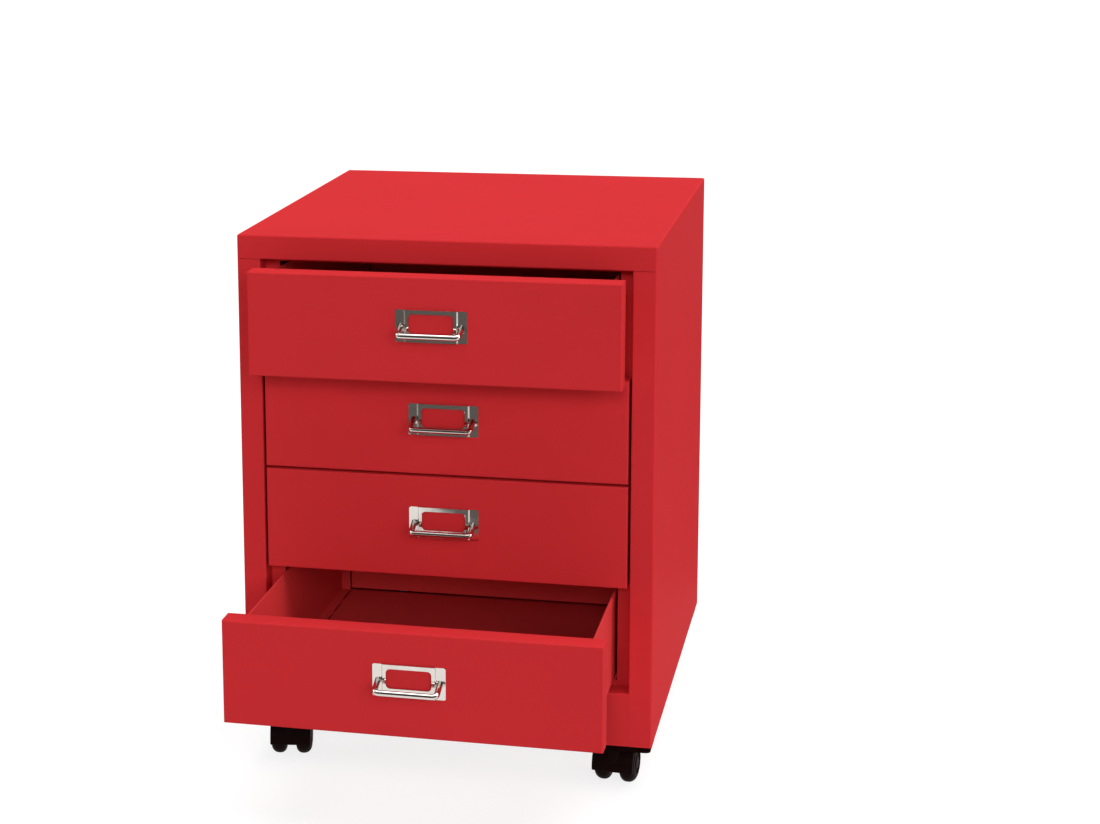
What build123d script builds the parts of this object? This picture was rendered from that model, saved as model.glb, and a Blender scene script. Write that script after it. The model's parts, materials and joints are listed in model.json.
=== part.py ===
from build123d import *
from math import atan2, cos, hypot, sin, tan
import os

# A mobile pedestal: a folded steel cabinet with four drawers, on four twin-wheel castors.
# Millimetres. X runs across the width, Y from the front (-Y) to the back, and Z up from the floor.
# The origin is on the floor under the middle of the cabinet, and the drawers stand part open.

# Cabinet
cabinet_width = 410.0
cabinet_depth = 450.0
cabinet_height = 496.0
shell_sheet = 1.0
fold_radius = 2.0
lip_height = 24.0
plinth_height = 54.0
stile_width = 23.0
rebate_width = 14.0
rebate_upstand = 5.0
rear_flange = 12.0
pan_flange = 20.0
seam = 0.1
corner_slit = 0.4
pick_tolerance = 0.01

# Drawers, numbered from the top; the rest openings are how far each one stands out
top_drawer_out = 54.0
bottom_drawer_out = 160.0
rest_openings = (top_drawer_out, 0.0, 0.0, bottom_drawer_out)
drawer_travel = 260.0
front_gap = 2.5
front_depth = 22.0
front_radius = 1.5
front_flange = 16.0
closing_gap = 0.5
drawer_sheet = 0.8
tray_side_gap = 3.0
tray_rise = 4.0
tray_drop = 7.0
tray_radius = 1.6
hem_height = 8.0
back_seam = 1.2
back_inset = 11.5
back_lap = 5.0
back_rise = 8.0
open_seam = 45.0
rear_space = 54.0
slot_length = 34.0
slot_bridge = 8.0
slot_width = 2.2
slot_inset = 11.5
lug_reach = 8.0
lug_height = 16.0
stop_gap = 0.3

# Rails that carry the drawers, and the channel uprights that carry the rails
rail_sheet = 1.2
slide_clearance = 0.3
guide_clearance = 1.0
guide_step = 4.0
rail_shelf = 8.0
rail_flange = 20.0
lug_clearance = 5.0
upright_width = 40.0
upright_setback = 34.0
upright_headroom = 6.0

# Card-frame handles: a pressed plate with a window, and a bent wire pull
plate_height = 31.0
plate_flange = 9.5
plate_sheet = 1.0
plate_corner = 1.5
plate_rise = 4.5
pocket_width = 50.0
pocket_depth = 1.6
pocket_slope = 0.8
window_width = 43.0
window_height = 19.0
window_radius = 4.0
window_top = 4.0
pull_diameter = 5.6
pull_leg_gap = 0.1
pull_reach = 18.0
pull_drop = 6.5
pull_bend = 4.5
spigot_diameter = 4.0
spigot_head = 7.0
spigot_head_height = 1.5
spigot_clearance = 0.1

# Castors
wheel_diameter = 40.0
wheel_width = 15.5
wheel_gap = 10.0
wheel_crown = 7.5
tread_flat = 1.5
hub_cap = 0.9
dish_outer = 11.0
dish_inner = 6.5
dish_depth = 1.5
axle_diameter = 6.0
running_clearance = 0.05
spine_clearance = 0.6
spine_floor_gap = 15.0
hood_clearance = 1.0
hood_wall = 2.7
hood_rear_angle = 25.0
hood_front_angle = 190.0
swivel_gap = 0.3
swivel_boss = 15.0
swivel_trail = 16.0
kingpin_diameter = 6.0
kingpin_length = 14.0
castor_plate_width = 76.0
castor_plate_length = 40.0
castor_plate_height = 6.0
castor_plate_sheet = 2.0
castor_plate_corner = 5.0
castor_plate_inset = 1.5
castor_seat = 18.0
screw_edge = 8.5
screw_diameter = 4.5
screw_clearance = 0.25
screw_head = 8.0
screw_head_height = 2.2
nut_across_flats = 8.0
nut_height = 3.2
front_left_turn = 10.0
front_right_turn = -6.0

# Levels and planes that follow from those sizes
wheel_radius = wheel_diameter / 2
wheel_inner_radius = wheel_width - wheel_crown - tread_flat
hood_inner = wheel_radius + hood_clearance
hood_outer = hood_inner + hood_wall
plate_bottom = wheel_radius + hood_outer + swivel_gap
base_z = plate_bottom + castor_plate_height
top_z = base_z + cabinet_height
front_y = -cabinet_depth / 2
back_y = cabinet_depth / 2
rebate_y = front_y + front_depth + closing_gap
opening_bottom = base_z + plinth_height
opening_top = top_z - lip_height
opening_half = cabinet_width / 2 - stile_width
rebate_half = opening_half - rebate_width
inner_half = cabinet_width / 2 - shell_sheet
drawer_count = len(rest_openings)
front_width = 2 * (opening_half - front_gap)
drawer_pitch = (opening_top - opening_bottom - front_gap) / drawer_count
front_height = drawer_pitch - front_gap
drawer_length = cabinet_depth - rear_space
tray_half = rebate_half - tray_side_gap
tray_top = front_height - tray_drop
tray_floor = tray_rise + drawer_sheet
handle_z = front_height / 2 + plate_rise
pocket_half = pocket_width / 2
plate_half = pocket_half + plate_flange
pocket_foot = plate_sheet * tan(atan2(pocket_depth, pocket_slope) / 2)
pull_half = pocket_half + pocket_foot + pull_leg_gap + pull_diameter / 2
castor_x = cabinet_width / 2 - castor_plate_inset - castor_plate_width / 2
castor_y = cabinet_depth / 2 - castor_plate_inset - castor_plate_length / 2
screw_spacing_x = castor_plate_width - 2 * screw_edge
screw_spacing_y = castor_plate_length - 2 * screw_edge
left_and_right = ((-1, "left"), (1, "right"))
front_and_rear = ((-1, "front"), (1, "rear"))
centred_on_face = (Align.CENTER, Align.MIN, Align.MIN)


def front_level(number):
    """Height of the lower edge of a drawer front, counted from the top drawer."""
    return opening_bottom + front_gap + (drawer_count - number) * drawer_pitch


def along_y(y):
    """Sketch plane across the cabinet at a depth, with X to the right and Z up."""
    return Plane.XZ.offset(-y)


def write(piece, name):
    """Label a finished piece and write it under its own name."""
    piece.label = name
    export_step(piece, f"parts/{name}.step")


def write_at(piece, name, place):
    """Write a copy of a piece, moved to a place in the cabinet."""
    with BuildPart() as placed:
        with Locations(place):
            add(piece)
    write(placed.part, name)


def handed(piece, side):
    """The piece as drawn for the right-hand side, or its mirror image for the left."""
    return piece if side > 0 else mirror(piece, about=Plane.YZ, mode=Mode.PRIVATE)


os.makedirs("parts", exist_ok=True)

# Outer shell: sides, top, front lip and stiles are one folded sheet, open below
with BuildPart() as shell:
    with Locations((0, 0, base_z)):
        Box(cabinet_width, cabinet_depth, cabinet_height, align=(Align.CENTER, Align.CENTER, Align.MIN))
    fillet(shell.edges().filter_by(Axis.Z) + shell.faces().sort_by(Axis.Z)[-1].edges(), fold_radius)
    offset(amount=-shell_sheet, openings=shell.faces().sort_by(Axis.Z)[0])
    with BuildSketch(along_y(front_y)):
        with Locations((0, opening_top)):
            Rectangle(2 * opening_half, cabinet_height, align=(Align.CENTER, Align.MAX))
    extrude(amount=-2 * shell_sheet, mode=Mode.SUBTRACT)
    with BuildSketch(along_y(back_y)):
        with Locations((0, top_z - rear_flange)):
            Rectangle(cabinet_width - 2 * rear_flange, cabinet_height, align=(Align.CENTER, Align.MAX))
    extrude(amount=2 * shell_sheet, mode=Mode.SUBTRACT)
    # Returns behind the stiles, standing on the base pan
    with BuildSketch(Plane.XY.offset(base_z + shell_sheet + seam)):
        with Locations((opening_half, front_y), (-opening_half - shell_sheet, front_y)):
            Rectangle(shell_sheet, rebate_y + shell_sheet - front_y, align=(Align.MIN, Align.MIN))
    extrude(amount=opening_top - base_z - seam)
    # Flanges that the drawer fronts close against
    with BuildSketch(Plane.XY.offset(opening_bottom + seam)):
        with Locations((rebate_half, rebate_y), (-opening_half, rebate_y)):
            Rectangle(rebate_width, shell_sheet, align=(Align.MIN, Align.MIN))
    extrude(amount=opening_top - opening_bottom - seam)
    # Ledge and turned-down edge behind the lip
    with BuildSketch(Plane.YZ):
        with Locations((front_y, opening_top)):
            Rectangle(rebate_y + shell_sheet - front_y, shell_sheet, align=(Align.MIN, Align.MIN))
    extrude(amount=opening_half, both=True)
    with BuildSketch(Plane.YZ):
        with Locations((rebate_y, opening_top)):
            Rectangle(shell_sheet, rebate_upstand, align=(Align.MIN, Align.MAX))
    extrude(amount=rebate_half, both=True)
    on_front = shell.edges().group_by(Axis.Y)[0]
    stile_folds = on_front.filter_by(lambda e: abs(abs(e.center().X) - opening_half) < pick_tolerance)
    lip_fold = on_front.filter_by(lambda e: abs(e.center().Z - opening_top) < pick_tolerance)
    fillet(stile_folds + lip_fold, front_radius)
    # Square feet of the stiles, flush beside the bottom rail
    with BuildSketch(Plane.XY.offset(base_z)):
        with Locations((opening_half, front_y), (-opening_half - front_radius, front_y)):
            Rectangle(front_radius, shell_sheet, align=(Align.MIN, Align.MIN))
    extrude(amount=plinth_height)
    # Open corner seams, where the stiles meet the lip
    with Locations((opening_half, front_y, opening_top), (-opening_half, front_y, opening_top)):
        Box(2 * (stile_width - fold_radius), 3 * shell_sheet, corner_slit, mode=Mode.SUBTRACT)
write(shell.part, "shell")

# Back panel, flat, inside the shell's rear flanges
with BuildPart() as back_panel:
    with Locations((0, back_y - 2 * shell_sheet, base_z)):
        Box(cabinet_width - 2 * fold_radius, shell_sheet, cabinet_height - fold_radius, align=centred_on_face)
write(back_panel.part, "back_panel")

# Base pan: the floor of the cabinet, with its edges turned up inside the shell
pan_half = inner_half - seam
pan_front = front_y + fold_radius
pan_back = back_y - 2 * shell_sheet - seam
tongue_front = front_y + shell_sheet + seam
tongue_width = 2 * (opening_half - seam)
screw_points = [
    (x * castor_x + dx * screw_spacing_x / 2, y * castor_y + dy * screw_spacing_y / 2)
    for x in (-1, 1)
    for y in (-1, 1)
    for dx in (-1, 1)
    for dy in (-1, 1)
]
with BuildPart() as base_pan:
    with BuildSketch(along_y(pan_front)):
        with BuildLine():
            pan_fold = FilletPolyline(
                (-pan_half, base_z + pan_flange),
                (-pan_half, base_z),
                (pan_half, base_z),
                (pan_half, base_z + pan_flange),
                radius=fold_radius,
            )
            offset(pan_fold, amount=shell_sheet, side=Side.LEFT)
        make_face()
    extrude(amount=pan_front - pan_back)
    with Locations((0, pan_back - shell_sheet, base_z)):
        Box(2 * (pan_half - fold_radius), shell_sheet, pan_flange, align=centred_on_face)
    with Locations((0, tongue_front, base_z)):
        Box(tongue_width, pan_front + shell_sheet - tongue_front, shell_sheet, align=centred_on_face)
        Box(tongue_width, shell_sheet, pan_flange, align=centred_on_face)
    with BuildSketch(Plane.XY.offset(base_z)):
        with Locations(*screw_points):
            Circle(screw_diameter / 2 + screw_clearance)
    extrude(amount=shell_sheet, mode=Mode.SUBTRACT)
write(base_pan.part, "base_pan")

# Bottom rail: face, ledge under the lowest drawer front, and upstand behind it
with BuildPart() as bottom_rail:
    with BuildSketch(Plane.YZ):
        with BuildLine():
            rail_fold = FilletPolyline(
                (front_y, base_z),
                (front_y, opening_bottom),
                (rebate_y, opening_bottom),
                (rebate_y, opening_bottom + rebate_upstand),
                radius=front_radius,
            )
            offset(rail_fold, amount=shell_sheet, side=Side.RIGHT)
        make_face()
    extrude(amount=opening_half - seam, both=True)
    # The upstand fits between the shell's flanges
    with BuildSketch(Plane.XY.offset(opening_bottom)):
        with Locations((rebate_half - seam, rebate_y), (seam - opening_half, rebate_y)):
            Rectangle(rebate_width, 2 * shell_sheet, align=(Align.MIN, Align.CENTER))
    extrude(amount=rebate_upstand, mode=Mode.SUBTRACT)
write(bottom_rail.part, "bottom_rail")

# Uprights: channels on the inside of the shell that carry the drawer rails
upright_face = tray_half + lug_reach + lug_clearance + rail_sheet
upright_bottom = base_z + pan_flange + shell_sheet
upright_front_y = rebate_y + shell_sheet + seam
upright_rear_y = back_y - upright_setback - upright_width
with BuildPart() as upright:
    with BuildSketch(Plane.XY.offset(upright_bottom)):
        with BuildLine():
            channel = FilletPolyline(
                (inner_half - seam, 0),
                (upright_face, 0),
                (upright_face, upright_width),
                (inner_half - seam, upright_width),
                radius=fold_radius,
            )
            offset(channel, amount=rail_sheet, side=Side.RIGHT)
        make_face()
    extrude(amount=top_z - shell_sheet - upright_headroom - upright_bottom)
for side, hand in left_and_right:
    for start, end in ((upright_front_y, "front"), (upright_rear_y, "rear")):
        write_at(handed(upright.part, side), f"upright_{end}_{hand}", (0, start, 0))

# Drawer rails: a flange on the uprights, a step that guides the tray, and a shelf under it
rail_web = upright_face - rail_sheet
guide_x = tray_half + guide_clearance
rail_length = upright_rear_y + upright_width - upright_front_y
with BuildPart() as rail:
    with BuildSketch(along_y(upright_front_y)):
        with BuildLine():
            rail_profile = FilletPolyline(
                (rail_web, guide_step + rail_flange),
                (rail_web, guide_step),
                (guide_x, guide_step),
                (guide_x, 0),
                (guide_x - rail_shelf, 0),
                radius=rail_sheet / 2,
            )
            offset(rail_profile, amount=rail_sheet, side=Side.LEFT)
        make_face()
    extrude(amount=-rail_length)
for number in range(1, drawer_count + 1):
    shelf_z = front_level(number) + tray_rise - slide_clearance
    for side, hand in left_and_right:
        write_at(handed(rail.part, side), f"rail_{number}_{hand}", (0, 0, shelf_z))

# Drawer front: a folded pan. Each drawer piece is drawn from the foot of its front's outer face
spigot_points = [(side * pull_half, handle_z) for side, hand in left_and_right]
with BuildPart() as drawer_front:
    Box(front_width, front_depth, front_height, align=centred_on_face)
    fillet(drawer_front.faces().sort_by(Axis.Y)[0].edges(), front_radius)
    with Locations((0, drawer_sheet, drawer_sheet)):
        Box(
            front_width - 2 * drawer_sheet,
            front_depth - 2 * drawer_sheet,
            front_height - 2 * drawer_sheet,
            align=centred_on_face,
            mode=Mode.SUBTRACT,
        )
    with Locations((0, front_depth - drawer_sheet, front_flange)):
        Box(
            front_width - 2 * front_flange,
            drawer_sheet,
            front_height - 2 * front_flange,
            align=centred_on_face,
            mode=Mode.SUBTRACT,
        )
    with BuildSketch(along_y(0)):
        with Locations(*spigot_points):
            Circle(spigot_diameter / 2 + spigot_clearance)
    extrude(amount=-drawer_sheet, mode=Mode.SUBTRACT)

# Drawer tray: floor, sides and inner front from one sheet, folded along slotted lines
slot_pitch = slot_length + slot_bridge
tray_length = drawer_length - front_depth
slot_count = int((tray_length - slot_bridge) // slot_pitch)
slot_x = tray_half - slot_inset
slot_run = slot_count * slot_pitch - slot_bridge
slot_middle = drawer_length - 2 * drawer_sheet - slot_width - slot_run / 2
back_half = tray_half - back_inset
lug_y = rebate_y + shell_sheet + stop_gap - front_y + drawer_travel
with BuildPart() as tray:
    with BuildSketch(along_y(front_depth)):
        with BuildLine():
            tray_fold = FilletPolyline(
                (-tray_half, tray_top),
                (-tray_half, tray_rise),
                (tray_half, tray_rise),
                (tray_half, tray_top),
                radius=tray_radius,
            )
            offset(tray_fold, amount=drawer_sheet, side=Side.LEFT)
        make_face()
    extrude(amount=-tray_length)
    with Locations((0, front_depth, tray_floor)):
        Box(2 * (tray_half - drawer_sheet), drawer_sheet, tray_top - tray_floor, align=centred_on_face)
    # Returns beside the back, and the pads behind them that it is fixed to
    for side, hand in left_and_right:
        with BuildSketch(along_y(drawer_length - drawer_sheet)):
            with Locations((side * (back_half + tray_half + back_seam) / 2, tray_floor)):
                Rectangle(tray_half - back_half - back_seam, tray_top - tray_floor, align=(Align.CENTER, Align.MIN))
        extrude(amount=drawer_sheet)
        with BuildSketch(along_y(drawer_length)):
            with Locations((side * (back_half + tray_half - back_lap) / 2, tray_top)):
                Rectangle(tray_half - back_half + back_lap, tray_top - open_seam, align=(Align.CENTER, Align.MAX))
        extrude(amount=drawer_sheet)
    # Hemmed upper edges, and the lugs that stop the drawer behind the shell's flanges
    for side, hand in left_and_right:
        with Locations((side * (tray_half + drawer_sheet / 2), front_depth, tray_top - hem_height)):
            Box(drawer_sheet, tray_length, hem_height, align=centred_on_face)
        with Locations((side * (tray_half + lug_reach / 2), lug_y, (tray_floor + tray_top) / 2)):
            Box(lug_reach, drawer_sheet, lug_height, align=(Align.CENTER, Align.MIN, Align.CENTER))
    with BuildSketch(Plane.XY.offset(tray_rise)):
        with Locations((0, slot_middle)):
            with GridLocations(2 * slot_x, slot_pitch, 2, slot_count):
                SlotOverall(slot_length, slot_width, rotation=90)
    extrude(amount=drawer_sheet, mode=Mode.SUBTRACT)

# Drawer back: a separate panel in front of the tray's pads, with open seams round it
with BuildPart() as drawer_back:
    with Locations((0, drawer_length - 2 * drawer_sheet, tray_floor + back_seam)):
        Box(
            2 * back_half,
            drawer_sheet,
            tray_top + back_rise - tray_floor - back_seam,
            align=centred_on_face,
        )

# Handle plate: flat ends on the drawer front, raised middle with a window for a card
with BuildPart() as handle_plate:
    with BuildSketch(Plane.XY.offset(handle_z - plate_height / 2)):
        with BuildLine():
            plate_fold = Polyline(
                (-plate_half, 0),
                (-pocket_half, 0),
                (pocket_slope - pocket_half, -pocket_depth),
                (pocket_half - pocket_slope, -pocket_depth),
                (pocket_half, 0),
                (plate_half, 0),
            )
            offset(plate_fold, amount=plate_sheet, side=Side.RIGHT, kind=Kind.INTERSECTION)
        make_face()
    extrude(amount=plate_height)
    plate_ends = handle_plate.edges().filter_by(Axis.Y).group_by(Axis.X)
    fillet(plate_ends[0] + plate_ends[-1], plate_corner)
    window_z = handle_z + plate_height / 2 - window_top - window_height / 2
    with BuildSketch(along_y(0)):
        with Locations((0, window_z)):
            RectangleRounded(window_width, window_height, window_radius)
        with Locations(*spigot_points):
            Circle(spigot_diameter / 2 + spigot_clearance)
    extrude(amount=pocket_depth + 2 * plate_sheet, mode=Mode.SUBTRACT)

# Wire pull: a bent bar whose spigots pass through the plate and the front and are peened over
pull_tilt = atan2(pull_drop, pull_reach)
pull_plane = Plane(origin=(0, 0, handle_z), x_dir=(1, 0, 0), z_dir=(0, sin(pull_tilt), -cos(pull_tilt)))
pull_length = hypot(pull_reach, pull_drop)
with BuildPart() as handle_pull:
    with BuildLine(pull_plane) as pull_path:
        FilletPolyline(
            (pull_half, -pull_diameter),
            (pull_half, pull_length),
            (-pull_half, pull_length),
            (-pull_half, -pull_diameter),
            radius=pull_bend,
        )
    pull_wire = pull_path.wires()[0]
    with BuildSketch(Plane(origin=pull_wire @ 0, z_dir=pull_wire % 0)):
        Circle(pull_diameter / 2)
    sweep(path=pull_wire)
    split(bisect_by=along_y(-plate_sheet), keep=Keep.TOP)
    with BuildSketch(along_y(-plate_sheet)):
        with Locations(*spigot_points):
            Circle(spigot_diameter / 2)
    extrude(amount=-plate_sheet - drawer_sheet)
    with BuildSketch(along_y(drawer_sheet)):
        with Locations(*spigot_points):
            Circle(spigot_head / 2)
    extrude(amount=-spigot_head_height)

for number, opening in enumerate(rest_openings, start=1):
    drawer_place = (0, front_y - opening, front_level(number))
    write_at(drawer_front.part, f"drawer_{number}_front", drawer_place)
    write_at(tray.part, f"drawer_{number}_tray", drawer_place)
    write_at(drawer_back.part, f"drawer_{number}_back", drawer_place)
    write_at(handle_plate.part, f"drawer_{number}_handle_plate", drawer_place)
    write_at(handle_pull.part, f"drawer_{number}_handle_pull", drawer_place)

# Castor plate: a pressed pan with a swivel seat and a riveted kingpin, drawn round the swivel axis
plate_under = base_z - castor_plate_sheet
with BuildPart() as castor_plate:
    with BuildSketch(Plane.XY.offset(plate_bottom)):
        RectangleRounded(castor_plate_width, castor_plate_length, castor_plate_corner)
    extrude(amount=castor_plate_height)
    with BuildSketch(Plane.XY.offset(plate_bottom)):
        RectangleRounded(
            castor_plate_width - 2 * castor_plate_sheet,
            castor_plate_length - 2 * castor_plate_sheet,
            castor_plate_corner - castor_plate_sheet,
        )
        Circle(castor_seat / 2, mode=Mode.SUBTRACT)
    extrude(amount=castor_plate_height - castor_plate_sheet, mode=Mode.SUBTRACT)
    with BuildSketch(Plane.XY.offset(plate_bottom)):
        Circle(kingpin_diameter / 2)
    extrude(amount=-kingpin_length)
    with BuildSketch(Plane.XY.offset(plate_under)):
        with GridLocations(screw_spacing_x, screw_spacing_y, 2, 2):
            Circle(screw_diameter / 2 + screw_clearance)
    extrude(amount=castor_plate_sheet, mode=Mode.SUBTRACT)

# Castor housing: a hood over both wheels, a spine between them and a boss for the kingpin
axle_place = (0, swivel_trail, wheel_radius)
axle_plane = Plane(origin=axle_place, x_dir=(0, 1, 0), z_dir=(1, 0, 0))
spine_half = wheel_gap / 2 - spine_clearance
castor_half = wheel_gap / 2 + wheel_width
with BuildPart() as housing:
    with BuildSketch(axle_plane):
        with BuildLine():
            CenterArc((0, 0), hood_outer, hood_rear_angle, hood_front_angle - hood_rear_angle)
            outer_arc = CenterArc((0, 0), hood_inner, hood_rear_angle, hood_front_angle - hood_rear_angle)
            Line(outer_arc @ 0, (outer_arc @ 0) * (hood_outer / hood_inner))
            Line(outer_arc @ 1, (outer_arc @ 1) * (hood_outer / hood_inner))
        make_face()
    extrude(amount=castor_half, both=True)
    with BuildSketch(Plane.XY.offset(wheel_radius)):
        Circle(swivel_boss / 2)
    extrude(amount=hood_outer)
    with BuildSketch(axle_plane):
        Circle(hood_inner)
    extrude(amount=castor_half, both=True, mode=Mode.SUBTRACT)
    with BuildSketch(axle_plane):
        Circle(hood_inner)
        with Locations((0, spine_floor_gap - wheel_radius)):
            Rectangle(2 * hood_outer, hood_outer, align=(Align.CENTER, Align.MAX), mode=Mode.SUBTRACT)
        Circle(axle_diameter / 2 + running_clearance, mode=Mode.SUBTRACT)
    extrude(amount=spine_half, both=True)
    with BuildSketch(Plane.XY.offset(plate_bottom)):
        Circle(kingpin_diameter / 2 + running_clearance)
    extrude(amount=-kingpin_length - 2 * swivel_gap, mode=Mode.SUBTRACT)

# Axle: a steel pin through the spine into both hubs
with BuildPart() as axle:
    with BuildSketch(axle_plane):
        Circle(axle_diameter / 2)
    extrude(amount=castor_half - hub_cap - swivel_gap, both=True)

# Wheel: turned about the axle, with a crowned tread, a blind hub and a dished outer face
with BuildPart() as wheel:
    with BuildSketch(Plane.XY) as wheel_section:
        with Locations((wheel_gap / 2, 0)):
            Rectangle(wheel_width, wheel_radius, align=(Align.MIN, Align.MIN))
        rim = wheel_section.vertices().group_by(Axis.Y)[-1].sort_by(Axis.X)
        fillet(rim[-1], wheel_crown)
        fillet(wheel_section.vertices().group_by(Axis.Y)[-1].sort_by(Axis.X)[0], wheel_inner_radius)
        with Locations((wheel_gap / 2, 0)):
            Rectangle(
                wheel_width - hub_cap,
                axle_diameter / 2 + running_clearance,
                align=(Align.MIN, Align.MIN),
                mode=Mode.SUBTRACT,
            )
        with Locations((castor_half, dish_inner)):
            Rectangle(
                dish_depth,
                dish_outer - dish_inner,
                align=(Align.MAX, Align.MIN),
                mode=Mode.SUBTRACT,
            )
    revolve(axis=Axis.X)

# The front castors stand a little turned about their swivels, and the rear ones straight
castor_turns = {("front", "left"): front_left_turn, ("front", "right"): front_right_turn}
for side_y, end in front_and_rear:
    for side, hand in left_and_right:
        plate_place = Location((side * castor_x, side_y * castor_y, 0))
        castor_place = plate_place * Location((0, 0, 0), (0, 0, castor_turns.get((end, hand), 0)))
        wheel_place = castor_place * Location(axle_place)
        write_at(castor_plate.part, f"castor_{end}_{hand}_plate", plate_place)
        write_at(housing.part, f"castor_{end}_{hand}_housing", castor_place)
        write_at(axle.part, f"castor_{end}_{hand}_axle", castor_place)
        for wheel_side, wheel_hand in left_and_right:
            write_at(
                handed(wheel.part, wheel_side),
                f"castor_{end}_{hand}_wheel_{wheel_hand}",
                wheel_place,
            )

# Castor screws: heads inside the plates, nuts on the base pan
with BuildPart() as castor_screws:
    with BuildSketch(Plane.XY.offset(plate_under)):
        with Locations(*screw_points):
            Circle(screw_head / 2)
    extrude(amount=-screw_head_height)
    with BuildSketch(Plane.XY.offset(plate_under)):
        with Locations(*screw_points):
            Circle(screw_diameter / 2)
    extrude(amount=castor_plate_sheet + shell_sheet)
    with BuildSketch(Plane.XY.offset(base_z + shell_sheet)):
        with Locations(*screw_points):
            RegularPolygon(nut_across_flats / 2, 6, major_radius=False)
    extrude(amount=nut_height)
write(castor_screws.part, "castor_screws")
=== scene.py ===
import bmesh
import bpy
import json
import numpy as np
from mathutils import Matrix, Vector


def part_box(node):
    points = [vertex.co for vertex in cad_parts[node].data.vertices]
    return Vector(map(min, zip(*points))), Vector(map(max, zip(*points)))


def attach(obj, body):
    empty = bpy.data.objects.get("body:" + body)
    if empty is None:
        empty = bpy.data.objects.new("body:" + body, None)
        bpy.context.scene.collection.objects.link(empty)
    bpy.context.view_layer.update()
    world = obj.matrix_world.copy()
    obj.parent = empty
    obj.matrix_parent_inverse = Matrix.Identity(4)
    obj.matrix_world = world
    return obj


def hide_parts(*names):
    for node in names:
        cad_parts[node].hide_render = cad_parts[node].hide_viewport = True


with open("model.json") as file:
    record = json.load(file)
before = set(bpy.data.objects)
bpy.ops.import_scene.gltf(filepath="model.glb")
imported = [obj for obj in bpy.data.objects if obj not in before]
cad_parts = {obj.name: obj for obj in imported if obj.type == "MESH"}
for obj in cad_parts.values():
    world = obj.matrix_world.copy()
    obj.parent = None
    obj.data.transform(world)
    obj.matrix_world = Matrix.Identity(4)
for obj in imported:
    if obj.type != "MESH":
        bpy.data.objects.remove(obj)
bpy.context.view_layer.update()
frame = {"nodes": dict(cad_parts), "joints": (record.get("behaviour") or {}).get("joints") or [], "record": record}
mm = 0.001

# Carcass: one folded steel sheet makes the sides, the top and the front frame. The back panel, base pan,
# bottom rail, uprights and drawer rails are welded into it, and all of it is powder coated red together.


def shade(tree, kind, inputs=None, **options):
    """A shader node with its options set. An input is a number, a colour or another node's socket."""
    node = tree.nodes.new("ShaderNode" + kind)
    for name, value in options.items():
        setattr(node, name, value)
    for name, value in (inputs or {}).items():
        if isinstance(value, bpy.types.NodeSocket):
            tree.links.new(value, node.inputs[name])
        else:
            node.inputs[name].default_value = value
    return node


def effect(name, inputs, outputs):
    """An empty node group with named sockets, and its two end nodes."""
    group = bpy.data.node_groups.new(name, "ShaderNodeTree")
    for socket, kind in inputs.items():
        group.interface.new_socket(socket, in_out="INPUT", socket_type=kind)
    for socket, kind in outputs.items():
        group.interface.new_socket(socket, in_out="OUTPUT", socket_type=kind)
    return group, group.nodes.new("NodeGroupInput").outputs, group.nodes.new("NodeGroupOutput").inputs


def finish(name):
    """A new material with a plain Principled shader, and its node tree."""
    material = bpy.data.materials.new(name)
    material.use_nodes = True
    return material, material.node_tree, material.node_tree.nodes["Principled BSDF"]


def textured_finish(name, group, values, strength, depth):
    """A material whose effect group gives its shade, its gloss and, as a bump of one depth, its texture."""
    material, tree, shader = finish(name)
    surface = shade(tree, "Group", node_tree=group)
    for socket, value in values.items():
        surface.inputs[socket].default_value = value
    relief = {"Height": surface.outputs["Height"], "Strength": strength, "Distance": depth}
    tree.links.new(surface.outputs["Colour"], shader.inputs["Base Color"])
    tree.links.new(surface.outputs["Roughness"], shader.inputs["Roughness"])
    tree.links.new(shade(tree, "Bump", relief).outputs["Normal"], shader.inputs["Normal"])
    return material, shader


NUMBER, COLOUR = "NodeSocketFloat", "NodeSocketColor"

# Cured powder: melted grains leave a fine orange peel, with faint drifts in the film's shade and gloss
powder_film, film_in, film_out = effect(
    "powder_film",
    {"Colour": COLOUR, "Drift": NUMBER, "Roughness": NUMBER},
    {"Colour": COLOUR, "Roughness": NUMBER, "Height": NUMBER},
)
place = shade(powder_film, "TexCoord").outputs["Object"]
drift = shade(powder_film, "TexNoise", {"Vector": place, "Scale": 7.0, "Detail": 3.0}).outputs["Fac"]
grains = shade(powder_film, "TexNoise", {"Vector": place, "Scale": 1900.0, "Detail": 1.0}).outputs["Fac"]
peel = shade(powder_film, "TexNoise", {"Vector": place, "Scale": 620.0, "Detail": 2.0, "Roughness": 0.35})
around = shade(powder_film, "MapRange", {"Value": drift, "From Min": 0.3, "From Max": 0.7, "To Min": -1.0})
swing = shade(powder_film, "Math", {0: around.outputs[0], 1: film_in["Drift"]}, operation="MULTIPLY")
speck = shade(powder_film, "MapRange", {"Value": grains, "To Min": 0.965, "To Max": 1.035})
level = shade(powder_film, "Math", {0: swing.outputs[0], 1: speck.outputs[0]}, operation="ADD")
tinted = shade(powder_film, "HueSaturation", {"Color": film_in["Colour"], "Value": level.outputs[0]})
gloss = shade(powder_film, "Math", {0: swing.outputs[0], 1: film_in["Roughness"]}, operation="ADD")
powder_film.links.new(tinted.outputs["Color"], film_out["Colour"])
powder_film.links.new(gloss.outputs[0], film_out["Roughness"])
powder_film.links.new(peel.outputs["Fac"], film_out["Height"])


def powder_coat(name, colour, drift, roughness, peel_depth):
    """Powder-coated steel in one colour: the film's shade, gloss and peel over a dull dielectric."""
    values = {"Colour": (*colour, 1), "Drift": drift, "Roughness": roughness}
    material, shader = textured_finish(name, powder_film, values, strength=0.3, depth=peel_depth)
    shader.inputs["Specular IOR Level"].default_value = 0.006
    return material


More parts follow.
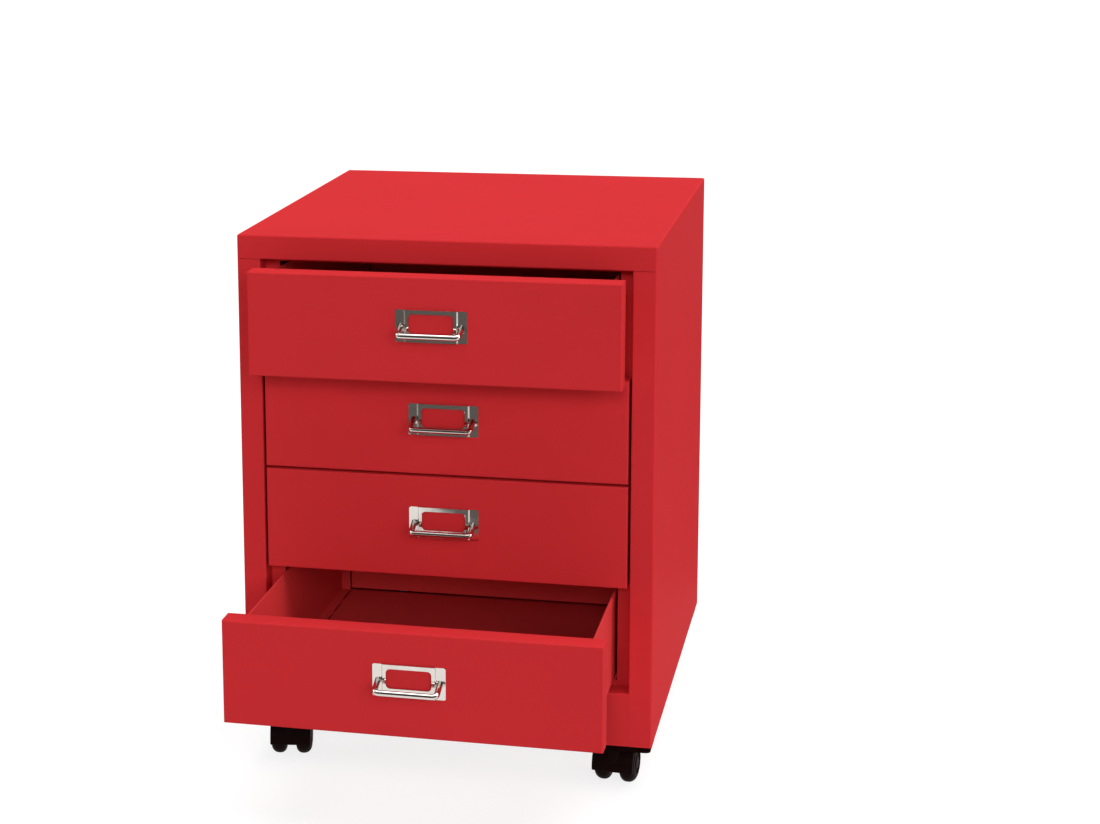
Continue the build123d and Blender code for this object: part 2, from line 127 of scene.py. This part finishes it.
def finish_node(node, material):
    """Gives one CAD node its finish."""
    for material_slot in frame["nodes"][node].material_slots:
        material_slot.material = material


def finish_nodes(slot, material):
    """Gives every CAD node of one record slot its finish."""
    for subpart in frame["record"]["subparts"]:
        if subpart["material_slot"] == slot:
            finish_node(subpart["node"], material)


red_film = {"drift": 0.02, "roughness": 0.62, "peel_depth": 0.12 * mm}
red_coat = powder_coat("red_powder_coat", (0.60, 0.029, 0.034), **red_film)
finish_nodes("red_powder_coat", red_coat)

# Drawer fronts: shallow pans of thin sheet with tightly folded edges and welded corners, coated with the
# rest. Each stands in for the CAD pan, with its folds turned in many small steps.
drawer_numbers = range(1, 5)
front_fold, front_edge, flat_margin = 1.5 * mm, 0.4 * mm, 0.8 * mm
smallest_arc, join_within = 0.05 * mm, 0.001 * mm
quarter = np.linspace(0, np.pi / 2, 9)


def rounded_outline(half_x, half_z, radius, inset, steps=7):
    """Rows of points round a rectangle, one row per inset: each corner is an arc of the radius that the
    inset leaves, about a centre that stands that radius inside both edges."""
    turn = (np.arange(4)[:, None] * np.pi / 2 + np.linspace(0, np.pi / 2, steps)).ravel()
    side_x = np.repeat([1, -1, -1, 1], steps)
    side_z = np.repeat([1, 1, -1, -1], steps)
    inset = np.asarray(inset)[:, None]
    arc = np.maximum(radius - inset, smallest_arc)
    x = side_x * (half_x - inset - arc) + arc * np.cos(turn)
    z = side_z * (half_z - inset - arc) + arc * np.sin(turn)
    return x, z


def made_mesh(name, points, faces, crease=35):
    """A mesh object with outward faces, smooth except at edges sharper than the crease angle in degrees."""
    mesh = bpy.data.meshes.new(name)
    mesh.from_pydata(points.tolist(), [], faces)
    work = bmesh.new()
    work.from_mesh(mesh)
    bmesh.ops.remove_doubles(work, verts=work.verts, dist=join_within)
    bmesh.ops.recalc_face_normals(work, faces=work.faces)
    work.to_mesh(mesh)
    work.free()
    mesh.shade_smooth()
    mesh.set_sharp_from_angle(angle=np.radians(crease))
    piece = bpy.data.objects.new(name, mesh)
    bpy.context.scene.collection.objects.link(piece)
    return piece


def closed_mesh(name, *forms):
    """A mesh of closed forms. Each form is a grid of points whose columns run round and meet, with its
    first and last rows filled; neighbouring rows and columns make the faces."""
    points, faces, first = [], [], 0
    for form in forms:
        rows, columns = form.shape[:2]
        index = first + np.arange(rows * columns).reshape(rows, columns)
        beside = np.roll(index, -1, axis=1)
        cells = np.stack([index[:-1], beside[:-1], beside[1:], index[1:]], axis=-1).reshape(-1, 4)
        faces += cells.tolist() + [index[0, ::-1].tolist(), index[-1].tolist()]
        points.append(form.reshape(-1, 3))
        first += rows * columns
    return made_mesh(name, np.concatenate(points), faces)


def dress(piece, material, body, node):
    """Finishes a piece, lets it ride on a body and puts it in place of a CAD node."""
    piece.data.materials.append(material)
    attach(piece, body)
    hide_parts(node)


def upright_panel(low, high, fold, edge):
    """A panel's outer skin: the outline at each step of the section, which runs from the flat of the face
    round the front fold, back along the edge and round the rear edge to the flat behind."""
    depth = high.y - low.y
    inset = np.concatenate([
        [fold + flat_margin],
        fold * (1 - np.sin(quarter)),
        edge * (1 - np.cos(quarter)),
        [edge + flat_margin],
    ])
    back = np.concatenate([
        [0],
        fold * (1 - np.cos(quarter)),
        depth - edge * (1 - np.sin(quarter)),
        [depth],
    ])
    x, z = rounded_outline((high.x - low.x) / 2, (high.z - low.z) / 2, edge, inset)
    y = np.broadcast_to(low.y + back[:, None], x.shape)
    return np.stack([x + (low.x + high.x) / 2, y, z + (low.z + high.z) / 2], axis=-1)


for number in drawer_numbers:
    node = f"drawer_{number}_front"
    piece = closed_mesh(f"pan_front_{number}", upright_panel(*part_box(node), front_fold, front_edge))
    dress(piece, red_coat, f"drawer_{number}", node)

# Drawer trays and backs: folded and flat sheets in a paler, lighter copy of the red, painted light that lifts
# the shade inside the open drawers. The backs are welded to pads behind the trays' returns. Their sheared edges
# are slightly rounded and stand clear of the floor and the returns, so that dark seams show inside the open
# drawer.
painted_light_coat = powder_coat("painted_light_red_powder_coat", (0.66, 0.045, 0.048), **red_film)
back_edge, side_seam, floor_seam = 0.25 * mm, 0.4 * mm, 1.0 * mm

for number in drawer_numbers:
    finish_node(f"drawer_{number}_tray", painted_light_coat)
    node = f"drawer_{number}_back"
    low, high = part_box(node)
    low = low + Vector((side_seam, 0, floor_seam))
    high = high - Vector((side_seam, 0, 0))
    piece = closed_mesh(f"back_sheet_{number}", upright_panel(low, high, back_edge, back_edge))
    dress(piece, painted_light_coat, f"drawer_{number}", node)

# Card frames: nickel-plated pressings. Their flat ends lie on the drawer front, and the raised middle has a
# window that a card would slide behind. The pull's ends go through the flat ends.

# Plated metal: soft streaks from polishing and a few dull patches where it has been handled
plated_marks, marks_in, marks_out = effect(
    "plated_marks",
    {"Colour": COLOUR, "Roughness": NUMBER, "Dulling": NUMBER},
    {"Colour": COLOUR, "Roughness": NUMBER, "Height": NUMBER},
)
place = shade(plated_marks, "TexCoord").outputs["Object"]
drawn = shade(plated_marks, "Mapping", {"Vector": place, "Scale": (60.0, 60.0, 1500.0)}).outputs["Vector"]
streaks = shade(plated_marks, "TexNoise", {"Vector": drawn, "Scale": 1.0, "Detail": 4.0}).outputs["Fac"]
patches = shade(plated_marks, "TexNoise", {"Vector": place, "Scale": 70.0, "Detail": 3.0}).outputs["Fac"]
haze = shade(plated_marks, "MapRange", {"Value": patches, "From Min": 0.45, "From Max": 0.75}).outputs[0]
dulled = shade(plated_marks, "Math", {0: haze, 1: marks_in["Dulling"]}, operation="MULTIPLY").outputs[0]
grain = shade(plated_marks, "MapRange", {"Value": streaks, "To Min": -0.04, "To Max": 0.04}).outputs[0]
rough = shade(plated_marks, "Math", {0: dulled, 1: marks_in["Roughness"]}, operation="ADD").outputs[0]
rough = shade(plated_marks, "Math", {0: rough, 1: grain}, operation="ADD").outputs[0]
tone = shade(plated_marks, "MapRange", {"Value": patches, "To Min": 1.08, "To Max": 0.9}).outputs[0]
toned = shade(plated_marks, "HueSaturation", {"Color": marks_in["Colour"], "Value": tone})
plated_marks.links.new(toned.outputs["Color"], marks_out["Colour"])
plated_marks.links.new(rough, marks_out["Roughness"])
plated_marks.links.new(streaks, marks_out["Height"])


def plated_metal(name, colour, roughness, dulling, streak_depth):
    """Bare or plated metal: a metallic shader with polishing streaks and hazy patches."""
    values = {"Colour": (*colour, 1), "Roughness": roughness, "Dulling": dulling}
    material, shader = textured_finish(name, plated_marks, values, strength=0.2, depth=streak_depth)
    shader.inputs["Metallic"].default_value = 1.0
    return material


nickel_tone, nickel_polish = (0.66, 0.62, 0.58), {"roughness": 0.07, "dulling": 0.07}
nickel = plated_metal("bright_nickel", nickel_tone, **nickel_polish, streak_depth=0.02 * mm)
plate_sheet, plate_corner, plate_edge = 1.0 * mm, 1.5 * mm, 0.45 * mm
window_half_x, window_half_z, window_radius, window_top = 21.5 * mm, 9.5 * mm, 4.0 * mm, 4.0 * mm
rim_half = 22.5 * mm
step_start, step_end = 26.0 * mm, 24.4 * mm


def window_side(half_along, half_across):
    """One side of the window from corner to corner: half an arc, the straight run and half an arc.
    Gives the places along the side and across it."""
    lean = np.linspace(np.pi / 4, 0, 8)
    along = half_along - window_radius * (1 - np.sin(lean))
    across = half_across - window_radius * (1 - np.cos(lean))
    return np.concatenate([-along, along[::-1]]), np.concatenate([across, across[::-1]])


def card_frame(low, high):
    """The pressing's front skin in three grids. Each end is a step that rises as 3t^2 - 2t^3, drawn up the
    height, which shrinks round the outer corners. The middle blends straight from its rim to the window."""
    centre_z, half_z, half_x = (low.z + high.z) / 2, (high.z - low.z) / 2, high.x
    rise = high.y - low.y - plate_sheet
    side_z, side_x = window_side(window_half_z, window_half_x)
    top_x, top_z = window_side(window_half_x, window_half_z)
    across = np.concatenate([
        half_x - plate_corner * (1 - np.cos(quarter)),
        np.linspace(step_start, step_end, 15),
        [rim_half],
    ])
    height = np.full(across.shape, half_z)
    height[:quarter.size] = half_z - plate_corner * (1 - np.sin(quarter))
    lift = np.clip((step_start - across) / (step_start - step_end), 0, 1)
    y = high.y - plate_sheet - rise * lift**2 * (3 - 2 * lift)
    up = side_z / side_z.max()
    z = centre_z + height[:, None] * up
    ends = [
        np.stack(np.broadcast_arrays(side * across[:, None], y[:, None], z), axis=-1)
        for side in (1, -1)
    ]
    sill = half_z - window_top - window_half_z
    hole = np.concatenate([
        np.stack([side_x, side_z + sill], axis=-1)[:-1],
        np.stack([-top_x, top_z + sill], axis=-1)[:-1],
        np.stack([-side_x, -side_z + sill], axis=-1)[:-1],
        np.stack([top_x, -top_z + sill], axis=-1)[:-1],
    ])
    along = rim_half * top_x / top_x.max()
    rim = np.concatenate([
        np.stack([np.full(up.shape, rim_half), half_z * up], axis=-1)[:-1],
        np.stack([-along, np.full(along.shape, half_z)], axis=-1)[:-1],
        np.stack([np.full(up.shape, -rim_half), -half_z * up], axis=-1)[:-1],
        np.stack([along, np.full(along.shape, -half_z)], axis=-1)[:-1],
    ])
    blend = np.linspace(0, 1, 4)[:, None, None]
    flat = rim * (1 - blend) + hole * blend
    middle = np.stack([flat[..., 0], np.full(flat.shape[:2], low.y), flat[..., 1] + centre_z], axis=-1)
    return ends, np.concatenate([middle, middle[:, :1]], axis=1)


def open_mesh(name, *grids):
    """A mesh of open grids that share their edges: neighbouring rows and columns make the faces."""
    points, faces, first = [], [], 0
    for grid in grids:
        rows, columns = grid.shape[:2]
        index = first + np.arange(rows * columns).reshape(rows, columns)
        cells = np.stack([index[:-1, :-1], index[1:, :-1], index[1:, 1:], index[:-1, 1:]], axis=-1)
        faces += cells.reshape(-1, 4).tolist()
        points.append(grid.reshape(-1, 3))
        first += rows * columns
    return made_mesh(name, np.concatenate(points), faces)


def pressed_sheet(name, grids, thickness, edge):
    """A thin pressing from open grids: turned to face the front, thickened to the back, with soft edges."""
    piece = open_mesh(name, *grids)
    facing = sum((face.normal * face.area for face in piece.data.polygons), Vector())
    if facing.y > 0:
        piece.data.flip_normals()
    wall = piece.modifiers.new("sheet", "SOLIDIFY")
    wall.thickness = thickness
    wall.offset = -1
    soften = piece.modifiers.new("edges", "BEVEL")
    soften.width = edge
    soften.segments = 3
    soften.limit_method = "ANGLE"
    flats = piece.modifiers.new("flats", "WEIGHTED_NORMAL")
    flats.keep_sharp = True
    return piece


for number in drawer_numbers:
    node = f"drawer_{number}_handle_plate"
    ends, middle = card_frame(*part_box(node))
    piece = pressed_sheet(f"card_frame_{number}", [*ends, middle], plate_sheet, plate_edge)
    dress(piece, nickel, f"drawer_{number}", node)

# Wire pulls: nickel-plated bars bent twice, leaning down from the card frame. Their thinned ends pass
# through the frame and the front and are peened over inside the pan.
wire_radius, wire_bend = 2.8 * mm, 4.5 * mm


def bent_wire(low, high, plate_y, root_z):
    """A round bar along two legs, two arcs and a straight grip, all in one plane that leans down from the
    card frame. Its rings stand square to its path, and the end rings slide along the legs to the frame."""
    reach, drop = plate_y - low.y - wire_radius, root_z - low.z - wire_radius
    length, half = np.hypot(reach, drop), high.x - wire_radius
    turn = np.linspace(0, np.pi / 2, 17)
    leg = np.linspace(0, length - wire_bend, 5)[:-1]
    grip = np.linspace(half - wire_bend, 0, 7)[1:]
    half_across = np.concatenate([np.full(leg.size, half), half - wire_bend * (1 - np.cos(turn)), grip])
    half_out = np.concatenate([leg, length - wire_bend * (1 - np.sin(turn)), np.full(grip.size, length)])
    half_heading = np.concatenate([np.zeros(leg.size), turn, np.full(grip.size, np.pi / 2)])
    across = np.concatenate([half_across, -half_across[-2::-1]])[:, None]
    out = np.concatenate([half_out, half_out[-2::-1]])[:, None]
    heading = np.concatenate([half_heading, np.pi - half_heading[-2::-1]])[:, None]
    along = np.array([1.0, 0, 0])
    lead = np.array([0, -reach, -drop]) / length
    square = np.cross(along, lead)
    sideways = np.cos(heading) * along + np.sin(heading) * lead
    around = np.linspace(0, 2 * np.pi, 32, endpoint=False)[:, None]
    spine = across * along + out * lead + np.array([0, plate_y, root_z])
    rings = spine[:, None] + wire_radius * (np.cos(around) * sideways[:, None] + np.sin(around) * square)
    slide = (plate_y - rings[[0, -1], :, 1]) / lead[1]
    rings[[0, -1]] += slide[..., None] * lead
    return rings


for number in drawer_numbers:
    node = f"drawer_{number}_handle_pull"
    low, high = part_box(node)
    plate_low, plate_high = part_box(f"drawer_{number}_handle_plate")
    root_z = (plate_low.z + plate_high.z) / 2
    piece = closed_mesh(f"wire_pull_{number}", bent_wire(low, high, plate_high.y - plate_sheet / 2, root_z))
    dress(piece, nickel, f"drawer_{number}", node)

# Castor plates: pressed steel pans under the cabinet's corners, black, each held by screws with zinc-plated
# heads and carrying the kingpin that the castor turns on. The axles are bare pins of the same steel.
black = (0.0075, 0.002, 0.002)
black_coat = powder_coat("black_paint", black, drift=0.02, roughness=0.45, peel_depth=0.06 * mm)
zinc = plated_metal("zinc_steel", (0.55, 0.56, 0.57), roughness=0.32, dulling=0.2, streak_depth=0.03 * mm)
finish_nodes("black_paint", black_coat)
finish_nodes("zinc_steel", zinc)

# Castor housings: one black nylon moulding each, with a hood over both wheels, a web between them that
# holds the axle, and a round boss in front of the axle that turns on the kingpin.

# Moulded nylon: a spark-eroded grain, slightly uneven gloss and a trace of grey where it rubs
moulded_skin, skin_in, skin_out = effect(
    "moulded_skin",
    {"Colour": COLOUR, "Roughness": NUMBER, "Rubbing": NUMBER},
    {"Colour": COLOUR, "Roughness": NUMBER, "Height": NUMBER},
)
place = shade(moulded_skin, "TexCoord").outputs["Object"]
eroded = shade(moulded_skin, "TexNoise", {"Vector": place, "Scale": 2600.0, "Detail": 2.0}).outputs["Fac"]
cloudy = shade(moulded_skin, "TexNoise", {"Vector": place, "Scale": 160.0, "Detail": 4.0}).outputs["Fac"]
rub = shade(moulded_skin, "MapRange", {"Value": cloudy, "From Min": 0.52, "From Max": 0.8}).outputs[0]
rub = shade(moulded_skin, "Math", {0: rub, 1: skin_in["Rubbing"]}, operation="MULTIPLY").outputs[0]
grey = (0.07, 0.05, 0.048, 1)
tinted = shade(moulded_skin, "Mix", {"Factor": rub, "A": skin_in["Colour"], "B": grey}, data_type="RGBA")
uneven = shade(moulded_skin, "MapRange", {"Value": cloudy, "To Min": -0.06, "To Max": 0.1}).outputs[0]
rough = shade(moulded_skin, "Math", {0: uneven, 1: skin_in["Roughness"]}, operation="ADD").outputs[0]
moulded_skin.links.new(tinted.outputs["Result"], skin_out["Colour"])
moulded_skin.links.new(rough, skin_out["Roughness"])
moulded_skin.links.new(eroded, skin_out["Height"])


def moulding(name, colour, roughness, rubbing, grain_depth):
    """A dark moulded plastic with its grain, gloss and rubbed patches."""
    values = {"Colour": (*colour, 1), "Roughness": roughness, "Rubbing": rubbing}
    material, shader = textured_finish(name, moulded_skin, values, strength=0.25, depth=grain_depth)
    shader.inputs["Specular IOR Level"].default_value = 0.025
    return material


nylon = moulding("black_nylon", black, roughness=0.5, rubbing=0.03, grain_depth=0.05 * mm)
corners = [f"castor_{end}_{side}" for end in ("front", "rear") for side in ("left", "right")]
joints = {joint["name"]: joint for joint in frame["joints"]}
trail, axle_height = 16.0 * mm, 20.0 * mm
axle = Vector((0, trail, axle_height))
hood_outer, hood_wall, hood_half, hood_edge = 23.7 * mm, 2.7 * mm, 20.5 * mm, 0.7 * mm
hood_back, hood_front, hood_steps = np.radians(25), np.radians(190), 44
web_half, web_edge, web_floor, web_sink = 4.4 * mm, 0.5 * mm, 15 * mm, 0.05 * mm
boss_radius, boss_edge, lowest_foot = 7.5 * mm, 0.6 * mm, 2.0 * mm


def on_swivel(form, corner):
    """A form drawn about an upright swivel at the origin, set at a castor's swivel: x and y turn by the
    angle that the castor's axle stands at."""
    cosine, sine = joints[f"{corner}_wheel_left_spin"]["axis"][:2]
    pin = joints[f"{corner}_swivel"]["pos_m"]
    x, y, z = np.moveaxis(form, -1, 0)
    return np.stack([pin[0] + cosine * x - sine * y, pin[1] + sine * x + cosine * y, z], axis=-1)


def hood():
    """A curved wall round the wheels: a rounded oblong section carried along an arc about the axle. At both
    ends the section draws in as the arc's last steps turn over the edge."""
    end_round = np.concatenate([quarter, np.full(hood_steps, np.pi / 2), quarter[::-1]])
    inset = hood_edge * (1 - np.sin(end_round))
    overrun = hood_edge * (1 - np.cos(quarter)) / hood_outer
    turn = np.concatenate([
        hood_back + overrun,
        np.linspace(hood_back + overrun[-1], hood_front - overrun[-1], hood_steps + 2)[1:-1],
        hood_front - overrun[::-1],
    ])[:, None]
    x, out = rounded_outline(hood_half, hood_wall / 2, hood_edge, inset)
    ring = hood_outer - hood_wall / 2 + out
    return np.stack([x, axle.y + ring * np.cos(turn), axle.z + ring * np.sin(turn)], axis=-1)


def web():
    """The plate between the wheels: a disc about the axle, cut level above the floor. Its outline draws in
    round both edges: the arc along its radius and the level cut upwards."""
    radius = hood_outer - hood_wall + web_sink
    floor = web_floor - axle.z
    cut = np.arcsin(floor / radius)
    turn = np.linspace(cut, np.pi - cut, 80)
    level = np.linspace(-np.cos(cut), np.cos(cut), 18)[1:-1] * radius
    edge = web_edge * (1 - np.cos(quarter))
    x = np.concatenate([edge - web_half, web_half - edge[::-1]])[:, None]
    inset = web_edge * (1 - np.sin(np.concatenate([quarter, quarter[::-1]])))[:, None]
    levels = np.broadcast_to(level, (x.size, level.size))
    y = np.concatenate([(radius - inset) * np.cos(turn), levels], axis=1)
    rise = np.concatenate([np.sin(turn) * radius, np.full(level.size, floor)])
    z = np.maximum(rise - inset * np.sign(rise), floor + inset)
    return np.stack(np.broadcast_arrays(x, axle.y + y, axle.z + z), axis=-1)


def boss(top):
    """A short post about the swivel: rings of one radius with a rounded rim on top. Its foot follows the
    middle of the hood's wall, a circle about the axle, and stays a little above the axle."""
    turn = np.linspace(0, 2 * np.pi, 48, endpoint=False)
    rim = boss_edge * (1 - np.cos(quarter))
    ring = np.concatenate([[boss_radius, boss_radius], boss_radius - rim, [boss_radius / 2]])[:, None]
    x, y = ring * np.cos(turn), ring * np.sin(turn)
    middle = hood_outer - hood_wall / 2
    foot = axle.z + np.sqrt(np.maximum(middle**2 - (y[0] - axle.y) ** 2, lowest_foot**2))
    upper = top - np.concatenate([[boss_edge], boss_edge * (1 - np.sin(quarter)), [0]])
    z = np.concatenate([foot[None], np.broadcast_to(upper[:, None], (upper.size, turn.size))])
    return np.stack([x, y, z], axis=-1)


for corner in corners:
    node = f"{corner}_housing"
    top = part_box(node)[1].z
    forms = [on_swivel(form, corner) for form in (hood(), web(), boss(top))]
    dress(closed_mesh(f"housing_{corner}", *forms), nylon, corner, node)

# Castor wheels: solid black mouldings, two to a castor, each turning by itself on the axle. The tread is
# nearly a half circle across, and the outer face has a ring-shaped dish round the closed hub.
tread_black = (0.0085, 0.0025, 0.0025)
tread = moulding("black_tread", tread_black, roughness=0.5, rubbing=0.05, grain_depth=0.04 * mm)
wheel_width, wheel_radius, wheel_bore, half_gap = 15.5 * mm, 20.0 * mm, 3.05 * mm, 5.0 * mm
crown, inner_round, dish_edge, hub_cap = 7.5 * mm, 6.5 * mm, 0.4 * mm, 0.9 * mm
dish_outer, dish_inner, dish_depth = 11.0 * mm, 6.5 * mm, 1.5 * mm


def wheel_section():
    """Half section of a wheel from the bottom of its blind bore, up the inner face, over two quarter circles
    of tread and down the dished outer face to the middle, as places along the axle and radii."""
    floor = wheel_width - dish_depth
    lip = dish_edge * np.array([0, 0.3, 1])
    x = np.concatenate([
        [wheel_width - hub_cap, dish_edge, 0],
        inner_round * (1 - np.cos(quarter)),
        wheel_width - crown * (1 - np.sin(quarter)),
        wheel_width - lip, [floor + dish_edge, floor, floor, floor + dish_edge], wheel_width - lip[::-1],
        [wheel_width],
    ])
    r = np.concatenate([
        [wheel_bore, wheel_bore, wheel_bore + dish_edge],
        wheel_radius - inner_round * (1 - np.sin(quarter)),
        wheel_radius - crown * (1 - np.cos(quarter)),
        dish_outer + lip[::-1], [dish_outer - dish_edge, dish_outer - 2 * dish_edge],
        [dish_inner + 2 * dish_edge, dish_inner + dish_edge], dish_inner - lip,
        [dish_inner / 2],
    ])
    return x, r


def wheel(hand, steps=112):
    """The half section turned about the axle, to the right or the left of the web."""
    x, r = wheel_section()
    turn = np.linspace(0, 2 * np.pi, steps, endpoint=False)
    across = np.broadcast_to(hand * (half_gap + x[:, None]), (x.size, steps))
    y, z = axle.y + r[:, None] * np.cos(turn), axle.z + r[:, None] * np.sin(turn)
    return np.stack([across, y, z], axis=-1)


for corner in corners:
    for hand, side in ((-1, "left"), (1, "right")):
        node = f"{corner}_wheel_{side}"
        piece = closed_mesh(f"wheel_{corner}_{side}", on_swivel(wheel(hand), corner))
        dress(piece, tread, node, node)

# Studio: a sweep of pale paper that runs level under the cabinet and curves up behind it. A broad soft light
# hangs above, weaker ones stand in front, at both sides and behind, and a faint glow comes from all round.
floor_reach, sweep_start, sweep_radius = 6.0, 2.6, 1.4
paper_glow, paper_seen, paper_bounce = 0.8, 0.3, 0.5


def studio_sweep():
    """A level floor that turns up through a quarter circle into a wall, carried straight across."""
    lean = np.linspace(0, np.pi / 2, 25)
    wall = sweep_start + sweep_radius
    y = np.concatenate([[-floor_reach], sweep_start + sweep_radius * np.sin(lean), [wall]])
    z = np.concatenate([[0], sweep_radius * (1 - np.cos(lean)), [floor_reach]])
    x = np.array([-floor_reach, floor_reach])
    return np.stack(np.broadcast_arrays(x[None], y[:, None], z[:, None]), axis=-1)


def seen_rays(tree):
    """A mask of the rays that show a surface: the camera's own, and those mirrored or let through."""
    rays = shade(tree, "LightPath").outputs
    seen = shade(tree, "Math", {0: rays["Is Camera Ray"], 1: rays["Is Glossy Ray"]}, operation="MAXIMUM")
    seen = shade(tree, "Math", {0: seen.outputs[0], 1: rays["Is Transmission Ray"]}, operation="MAXIMUM")
    return seen.outputs[0]


paper, tree, shader = finish("pale_paper")
seen = seen_rays(tree)
unlit = shade(tree, "MapRange", {"Value": seen, "To Max": paper_glow}).outputs[0]
lit = shade(tree, "MapRange", {"Value": seen, "To Min": paper_bounce, "To Max": paper_seen}).outputs[0]
tree.links.new(lit, shader.inputs["Base Color"])
tree.links.new(unlit, shader.inputs["Emission Strength"])
shader.inputs["Emission Color"].default_value = (1, 1, 1, 1)
shader.inputs["Roughness"].default_value = 0.9
shader.inputs["Specular IOR Level"].default_value = 0.0
backdrop = open_mesh("backdrop", studio_sweep())
backdrop.data.materials.append(paper)

# The room beyond the paper is dark. It shows only where bright metal mirrors it
room_turns = [0, 20, 35, 150, 160, 200, 215, 257, 263, 310, 330, 360]
room_starts = [3.6, 3.6, 0.5, 0.5, 3.0, 3.0, 1.4, 1.4, 0.95, 0.95, 3.6, 3.6]
room_walls = [1.7, 1.7, 1.7, 1.7, 1.7, 1.7, 1.7, 6.0, 6.0, 6.0, 1.7, 1.7]
room_reach, room_floor = 4.5, 1.0 * mm


def dark_room():
    """A level floor just above the paper that turns up into a round wall. The radius of its inner edge and
    the height of its wall change with the turn, in degrees from the right of the cabinet."""
    turn = np.linspace(0, 360, 241)
    inner = np.interp(turn, room_turns, room_starts)
    wall = np.interp(turn, room_turns, room_walls)
    ring = np.stack([inner, np.full(turn.size, room_reach), np.full(turn.size, room_reach)])
    height = np.stack([np.full(turn.size, room_floor), np.full(turn.size, room_floor), wall])
    return np.stack([ring * np.cos(np.radians(turn)), ring * np.sin(np.radians(turn)), height], axis=-1)


dusk, _, shader = finish("dark_room")
shader.inputs["Base Color"].default_value = (0.06, 0.05, 0.044, 1)
shader.inputs["Roughness"].default_value = 0.8
room = open_mesh("dark_room", dark_room())
room.data.materials.append(dusk)
room.visible_camera = room.visible_diffuse = room.visible_shadow = room.visible_transmission = False

glow = bpy.data.worlds.new("studio_glow")
bpy.context.scene.world = glow
glow.use_nodes = True
tree = glow.node_tree
glow_light, glow_seen = 0.06, 1.0
strength = shade(tree, "MapRange", {"Value": seen_rays(tree), "To Min": glow_light, "To Max": glow_seen})
tree.links.new(strength.outputs[0], tree.nodes["Background"].inputs["Strength"])
tree.nodes["Background"].inputs["Color"].default_value = (1, 1, 1, 1)


def soft_light(name, toward, strength, spread):
    """A far, broad lamp: its light travels along a direction and softens over a wide angle in degrees."""
    lamp = bpy.data.lights.new(name, "SUN")
    lamp.energy = strength
    lamp.angle = np.radians(spread)
    light = bpy.data.objects.new(name, lamp)
    light.rotation_euler = Vector(toward).to_track_quat("-Z", "Y").to_euler()
    bpy.context.scene.collection.objects.link(light)


soft_light("overhead", (-0.15, -0.1, -1.0), strength=2.4, spread=60)
soft_light("front_fill", (-0.1, 1.0, -0.41), strength=0.8, spread=14)
soft_light("right_front", (-0.7, 0.9, -0.36), strength=0.78, spread=30)
soft_light("right_side", (-1.0, 0.07, -0.3), strength=0.95, spread=18)
soft_light("left_side", (1.0, 0.1, -0.3), strength=0.85, spread=30)
soft_light("rear", (0.3, -1.0, -0.4), strength=0.45, spread=30)

# Camera: stands to the right of the cabinet and above it, with its place, turn and lens fitted to the
# straight edges of the photograph, whose middle is off the lens axis.
photo_width, photo_height, focal_pixels = 1100, 824, 2320.1
axis_pixel_x, axis_pixel_y = 350, 290
stand_point = (0.4469, -2.3609, 0.9255)
azimuth, elevation, roll = np.radians([14.151, 11.069, -0.735])
level_share = np.cos(elevation)
back = Vector((np.sin(azimuth) * level_share, -np.cos(azimuth) * level_share, np.sin(elevation)))
right = Vector((0, 0, 1)).cross(back).normalized()
up = back.cross(right)
lens = bpy.data.cameras.new("camera")
lens.sensor_width = 36
lens.lens = focal_pixels * lens.sensor_width / photo_width
lens.shift_x = (photo_width / 2 - axis_pixel_x) / photo_width
lens.shift_y = (axis_pixel_y - photo_height / 2) / photo_width
camera = bpy.data.objects.new("camera", lens)
turned_right = np.cos(roll) * right + np.sin(roll) * up
turned_up = np.cos(roll) * up - np.sin(roll) * right
turn = Matrix((turned_right, turned_up, back)).transposed().to_4x4()
camera.matrix_world = Matrix.Translation(stand_point) @ turn
bpy.context.scene.collection.objects.link(camera)
bpy.context.scene.camera = camera
bpy.context.scene.view_settings.view_transform = "Standard"
